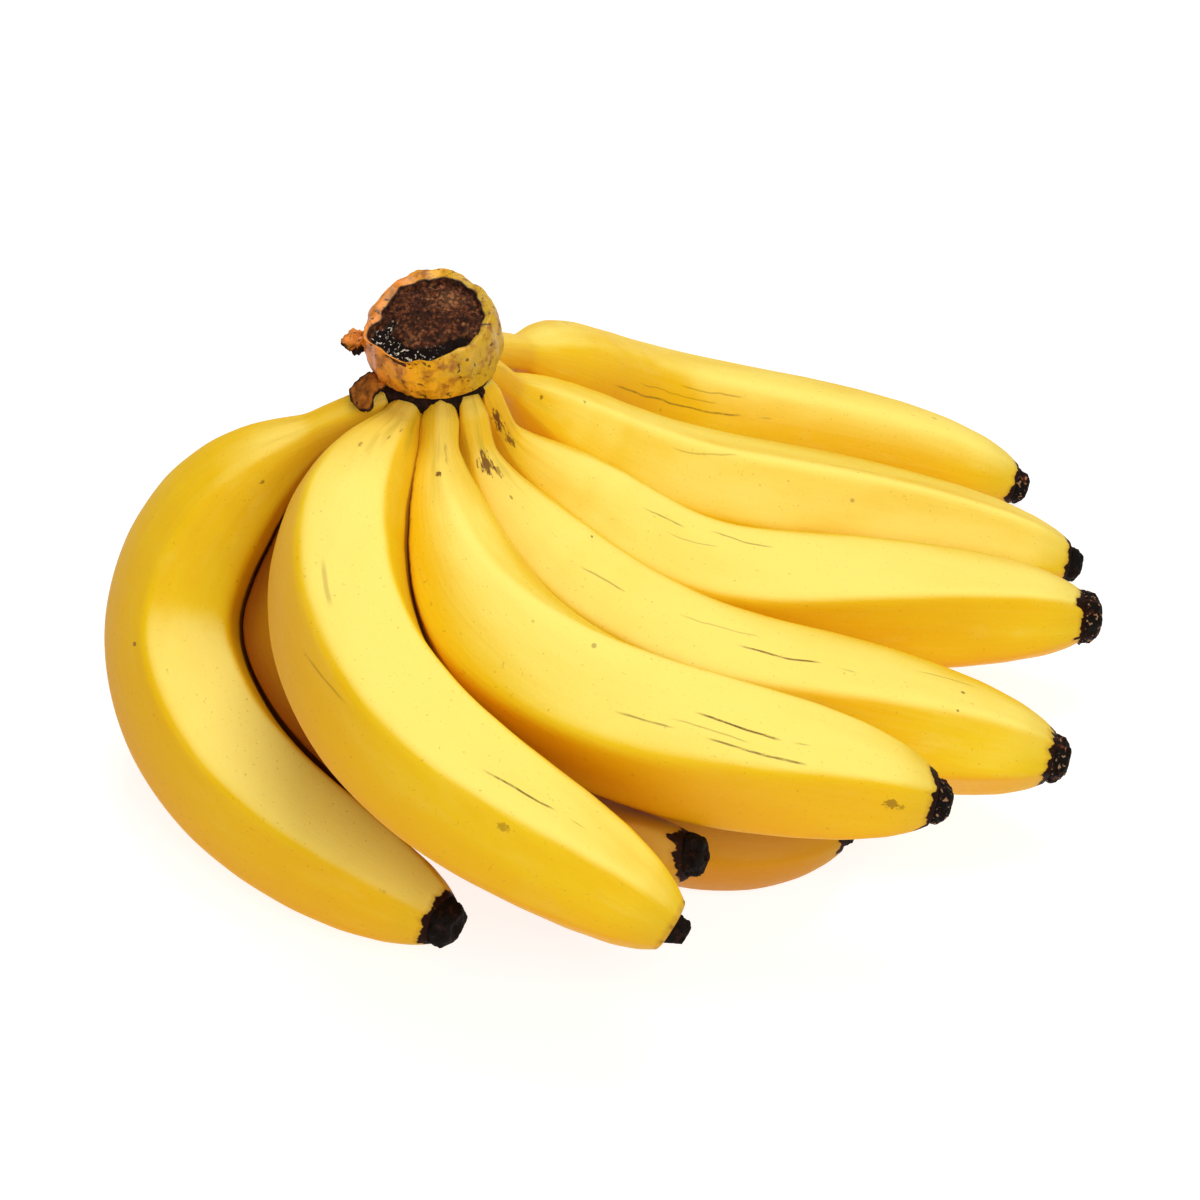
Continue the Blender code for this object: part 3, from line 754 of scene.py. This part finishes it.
    torn = look.noise(look.stretch(place, (0.5, 0.5, 0.5)), 1.0, 4.0, 0.7)
    for fruit, where, degrees, half_length, half_width, darkness in BRUISES:
        if fruit != number:
            continue
        radius, stalk, neck, tip = FRUITS[number][:4]
        girth = radius * float(girth_along(np.array([where * length]), stalk, neck, tip, length)[0])
        lengthways = look.math("DIVIDE", look.math("SUBTRACT", along, where * length), half_length)
        across = look.math("MULTIPLY", look.math("SUBTRACT", angle, math.radians(degrees)), girth)
        across = look.math("DIVIDE", across, half_width)
        far = look.math("ADD", look.math("POWER", lengthways, 2.0), look.math("POWER", across, 2.0))
        far = look.math("SQRT", far)
        ragged = look.math("ADD", far, look.range(torn, 0.25, 0.75, -0.9, 0.9, smooth=False))
        spot = look.range(ragged, 0.5, 1.0, darkness, 0.0)
        colour = look.mix(spot, colour, BROWN)

    look.put(look.shader.inputs["Base Color"], colour)
    fine = look.noise(place, 0.9, 4.0, 0.6)
    look.put(look.shader.inputs["Roughness"], look.range(fine, 0.3, 0.7, 0.42, 0.58))
    look.put(look.shader.inputs["Specular IOR Level"], look.range(dried, 0.0, 1.0, 0.14, 0.03))
    look.put(look.shader.inputs["Subsurface Weight"], look.range(dried, 0.0, 1.0, 0.12, 0.0))
    look.shader.inputs["Subsurface Radius"].default_value = (1.0, 0.55, 0.08)
    look.shader.inputs["Subsurface Scale"].default_value = 0.003
    relief = look.math("ADD", look.math("MULTIPLY", fine, 0.5), look.math("MULTIPLY", grain, 0.7))
    look.put(look.shader.inputs["Normal"], look.bump(relief, 0.25, 0.0006))
    return look.material


MOTTLED = (3, 4, 5, 7)     # fruits whose dried ends show reddish and pale bits


def dried_look(mottled):
    look = Look("dried_flower_end_mottled" if mottled else "dried_flower_end")
    place = look.add("ShaderNodeTexCoord").outputs["Object"]
    patches = look.noise(place, 450.0, 4.0, 0.65)
    colour = look.mix(look.range(patches, 0.50, 0.70, 0.0, 1.0 if mottled else 0.25), BLACK_TIP, RED_TIP)
    if mottled:
        bits = look.noise(place, 900.0, 2.0, 0.5)
        colour = look.mix(look.range(bits, 0.60, 0.66, 0.0, 0.6), colour, PALE_TIP)
    look.put(look.shader.inputs["Base Color"], colour)
    look.shader.inputs["Roughness"].default_value = 0.75
    look.shader.inputs["Specular IOR Level"].default_value = 0.1
    look.put(look.shader.inputs["Normal"], look.bump(look.noise(place, 1400.0, 3.0), 0.6, 0.0004))
    return look.material


def crown_look():
    look = Look("crown_skin")
    place = look.add("ShaderNodeTexCoord").outputs["Object"]
    parts = look.add("ShaderNodeSeparateXYZ", {"Vector": place}).outputs
    collar = look.attribute("collar")
    cut = look.attribute("cut")
    fissure = look.attribute("fissure")
    soft = look.noise(place, 110.0, 4.0, 0.6, 0.5)
    wander = look.math("MULTIPLY", look.math("SUBTRACT", soft, 0.5), 0.03)
    across = look.math("ADD", parts["X"], wander)
    left, right = CROWN_LEFT * MM, CROWN_RIGHT * MM
    skin = look.mix(look.range(across, left, left + 0.016), ORANGE_SKIN, OCHRE_SKIN)
    skin = look.mix(look.range(across, right - 0.014, right), skin, OLIVE_SKIN)
    mottle = look.noise(place, 260.0, 5.0, 0.65)
    skin = look.mix(look.range(mottle, 0.45, 0.66, 0.0, 0.85), skin, DEEP_SKIN)
    streaks = look.noise(look.stretch(place, (900.0, 900.0, 160.0)), 1.0, 3.0, 0.6)
    skin = look.mix(look.range(streaks, 0.55, 0.75, 0.0, 0.5), skin, RUST)
    spots = look.noise(place, 650.0, 2.0, 0.5)
    skin = look.mix(look.range(spots, 0.62, 0.68, 0.0, 0.85), skin, DARK_WOOD)

    wood = look.noise(place, 640.0, 5.0, 0.75)
    grains = look.add("ShaderNodeTexVoronoi", {"Vector": place, "Scale": 900.0}).outputs["Distance"]
    inside = look.mix(look.range(wood, 0.40, 0.62), DARK_WOOD, RED_WOOD)
    pith = look.noise(place, 380.0, 4.0, 0.7)
    inside = look.mix(look.range(pith, 0.52, 0.70, 0.0, 0.8), inside, PALE_WOOD)
    middle = tuple(value * MM for value in PALE_PATCH)
    patch = look.add("ShaderNodeVectorMath", {0: place, 1: middle}, operation="DISTANCE")
    patch = look.math("ADD", patch.outputs["Value"], look.math("MULTIPLY", wander, 0.15))
    inside = look.mix(look.range(patch, 0.0005, 0.0045, 0.85, 0.0), inside, PALE_WOOD)
    inside = look.mix(look.range(grains, 0.35, 0.6, 0.0, 0.7), inside, BLACK_WOOD)
    flecks = look.range(look.noise(place, 1500.0, 1.0), 0.60, 0.68)
    leftward = look.range(parts["X"], FLECKS_FROM * MM, FLECKS_TO * MM, 1.0, 0.0)
    flecks = look.math("MULTIPLY", flecks, leftward)
    split = look.mix(flecks, BLACK_WOOD, WHITE_FLECK)
    inside = look.mix(look.range(fissure, 0.25, 0.6), inside, split)

    band = look.mix(look.range(wood, 0.4, 0.7), BLACK_WOOD, DARK_WOOD)
    colour = look.mix(look.range(collar, 0.3, 0.6), skin, band)
    dark_rim = look.math("MULTIPLY", look.range(cut, 0.0, 0.1), look.range(cut, 0.7, 1.0, 1.0, 0.0))
    colour = look.mix(look.range(cut, 0.35, 0.65), colour, inside)
    colour = look.mix(look.math("MULTIPLY", dark_rim, 0.8), colour, BLACK_WOOD)
    look.put(look.shader.inputs["Base Color"], colour)
    dull = look.math("MAXIMUM", cut, look.range(collar, 0.2, 0.6))
    look.put(look.shader.inputs["Roughness"], look.range(dull, 0.2, 0.8, 0.42, 0.85))
    look.put(look.shader.inputs["Specular IOR Level"], look.range(dull, 0.2, 0.8, 0.45, 0.12))
    height = look.math("ADD", look.math("MULTIPLY", mottle, 0.7), look.math("MULTIPLY", wood, cut))
    look.put(look.shader.inputs["Normal"], look.bump(height, 0.6, 0.0008))
    return look.material


FLOOR_GREY = (0.38, 0.38, 0.38)
FLOOR_GLOW = 0.78         # lifts the floor to a plain pale tone


def floor_look():
    look = Look("white_floor")
    look.shader.inputs["Base Color"].default_value = (*FLOOR_GREY, 1.0)
    look.shader.inputs["Roughness"].default_value = 0.9
    look.shader.inputs["Specular IOR Level"].default_value = 0.1
    look.shader.inputs["Emission Color"].default_value = (1.0, 1.0, 1.0, 1.0)
    look.shader.inputs["Emission Strength"].default_value = FLOOR_GLOW
    return look.material


CAMERA_ELEVATION = 42.0
CAMERA_DISTANCE = 820.0
CAMERA_AIM = (0.0, 0.0, 0.0)
CAMERA_LENS = 91.0
CAMERA_SENSOR = 36.0
CAMERA_CLIP = 0.01        # metres


def camera():
    data = bpy.data.cameras.new("camera")
    data.lens = CAMERA_LENS
    data.sensor_width = CAMERA_SENSOR
    data.clip_start = CAMERA_CLIP
    made = bpy.data.objects.new("camera", data)
    tilt = math.radians(CAMERA_ELEVATION)
    place = np.array(CAMERA_AIM) + CAMERA_DISTANCE * np.array([0.0, -math.cos(tilt), math.sin(tilt)])
    made.location = to_metres(place).tolist()
    made.rotation_euler = (math.pi / 2 - tilt, 0.0, 0.0)
    bpy.context.scene.collection.objects.link(made)
    bpy.context.scene.camera = made


def area_light(name, place, size, power):
    data = bpy.data.lights.new(name, "AREA")
    data.shape = "DISK"
    data.size = size
    data.energy = power
    made = bpy.data.objects.new(name, data)
    made.location = place
    made.rotation_euler = (Vector(LIGHT_AIM) - Vector(place)).to_track_quat("-Z", "Y").to_euler()
    bpy.context.scene.collection.objects.link(made)


# The studio, in metres in the row frame: its floor, its lights' places, widths and watts, and the soft light
# from all round.
FLOOR_SIZE = 6.0
FLOOR_LEVEL = -0.0003     # just clear of the fruits' flat spots
LIGHT_AIM = (0.0, 0.0, 0.04)
KEY = ((0.1, 0.4, 1.15), 0.7, 7.0)
FILL = ((0.35, -0.95, 1.0), 0.8, 7.6)
WORLD_COLOUR = (1.0, 0.90, 0.74)
WORLD_STRENGTH = 0.42


def studio():
    bpy.ops.mesh.primitive_plane_add(size=FLOOR_SIZE, location=(0.0, 0.0, FLOOR_LEVEL))
    floor = bpy.context.object
    floor.name = "floor"
    floor.data.materials.append(floor_look())
    world = bpy.data.worlds.new("studio")
    world.use_nodes = True
    world.node_tree.nodes["Background"].inputs["Color"].default_value = (*WORLD_COLOUR, 1.0)
    world.node_tree.nodes["Background"].inputs["Strength"].default_value = WORLD_STRENGTH
    bpy.context.scene.world = world
    area_light("key", *KEY)
    area_light("fill", *FILL)
    bpy.context.scene.view_settings.view_transform = "Standard"


def main():
    camera()
    studio()
    black, mottled = dried_look(False), dried_look(True)
    for number in FRUITS:
        peel(number, peel_look(number))
        dried_end(number, mottled if number in MOTTLED else black)
    crown(crown_look())


main()
